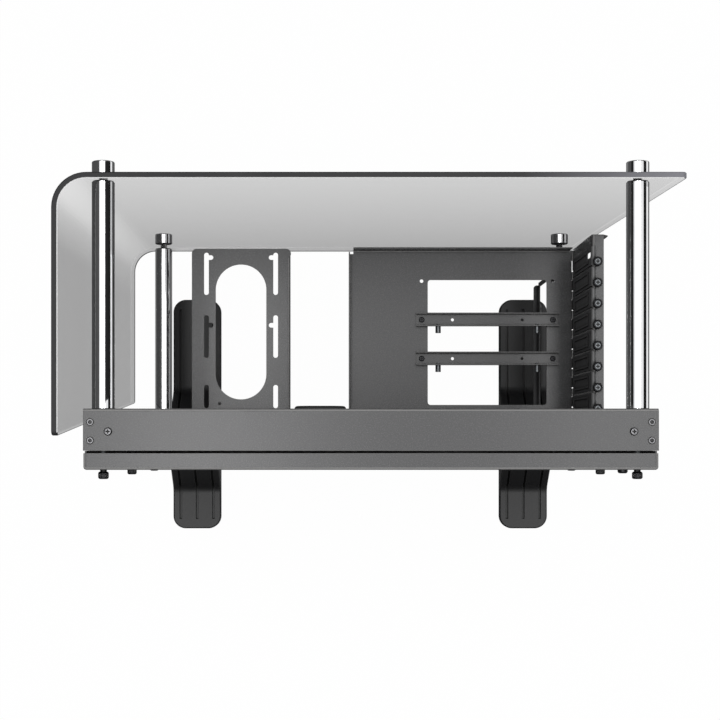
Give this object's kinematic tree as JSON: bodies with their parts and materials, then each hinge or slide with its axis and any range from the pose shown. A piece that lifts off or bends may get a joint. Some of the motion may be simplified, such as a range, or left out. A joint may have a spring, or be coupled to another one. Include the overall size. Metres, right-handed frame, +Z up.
{
  "type": "open air test bench",
  "caption": "Upright open-air computer test bench: steel tray on splayed feet, slotted card shelf, pump and supply brackets, and a bent glass panel on chrome posts.",
  "frame": {"origin": "middle of the footprint, on the floor under the feet", "axes": "+Z up, -Y out through the glass front, +X towards the side that the glass wraps round"},
  "size_m": [0.4974, 0.3194, 0.5139],
  "materials": {
    "bench_paint": "fine-textured dark grey powder coat on folded steel sheet",
    "slot_cover_paint": "smooth dark grey powder coat on thin steel strip",
    "post_chrome": "polished chrome plate on turned steel bar",
    "tinted_glass": "grey-tinted bent tempered glass with polished edges",
    "foot_plastic": "moulded dark grey plastic with a fine matte texture",
    "black_rubber": "moulded black rubber",
    "plain_steel": "zinc-plated steel of braces, spacers and pins",
    "screw_black": "black oxide steel screws"
  },
  "bodies": {
    "root": {"brace_screws": "plain_steel", "cable_grommet_lower": "black_rubber", "cable_grommet_middle": "black_rubber", "cable_grommet_upper": "black_rubber", "card_shelf": "bench_paint", "cover_pan_screw": "screw_black", "cover_spacers": "plain_steel", "foot_left": "foot_plastic", "foot_pad_front_left": "black_rubber", "foot_pad_front_right": "black_rubber", "foot_pad_rear_left": "black_rubber", "foot_pad_rear_right": "black_rubber", "foot_right": "foot_plastic", "foot_screws": "screw_black", "glass_panel": "tinted_glass", "glass_washers": "black_rubber", "post_brace_lower_left": "plain_steel", "post_brace_lower_right": "plain_steel", "post_brace_upper_left": "plain_steel", "post_brace_upper_right": "plain_steel", "post_cap_lower_left": "post_chrome", "post_cap_lower_right": "post_chrome", "post_cap_upper_left": "post_chrome", "post_cap_upper_right": "post_chrome", "post_lower_left": "post_chrome", "post_lower_right": "post_chrome", "post_screws": "screw_black", "post_upper_left": "post_chrome", "post_upper_right": "post_chrome", "psu_bracket": "bench_paint", "psu_bracket_screws": "screw_black", "pump_bracket": "bench_paint", "pump_bracket_screws": "screw_black", "rail_screws": "screw_black", "rear_cover": "bench_paint", "rear_thumbscrews": "screw_black", "riser_rail_front": "bench_paint", "riser_rail_rear": "bench_paint", "riser_standoffs": "plain_steel", "shelf_screws": "screw_black", "slot_cover_1": "slot_cover_paint", "slot_cover_2": "slot_cover_paint", "slot_cover_3": "slot_cover_paint", "slot_cover_4": "slot_cover_paint", "slot_cover_5": "slot_cover_paint", "slot_cover_6": "slot_cover_paint", "slot_cover_7": "slot_cover_paint", "slot_cover_8": "slot_cover_paint", "slot_thumbscrews": "screw_black", "tray_corner_screws": "screw_black", "tray_panel": "bench_paint", "tray_side_left": "bench_paint", "tray_side_right": "bench_paint"}
  },
  "joints": []
}
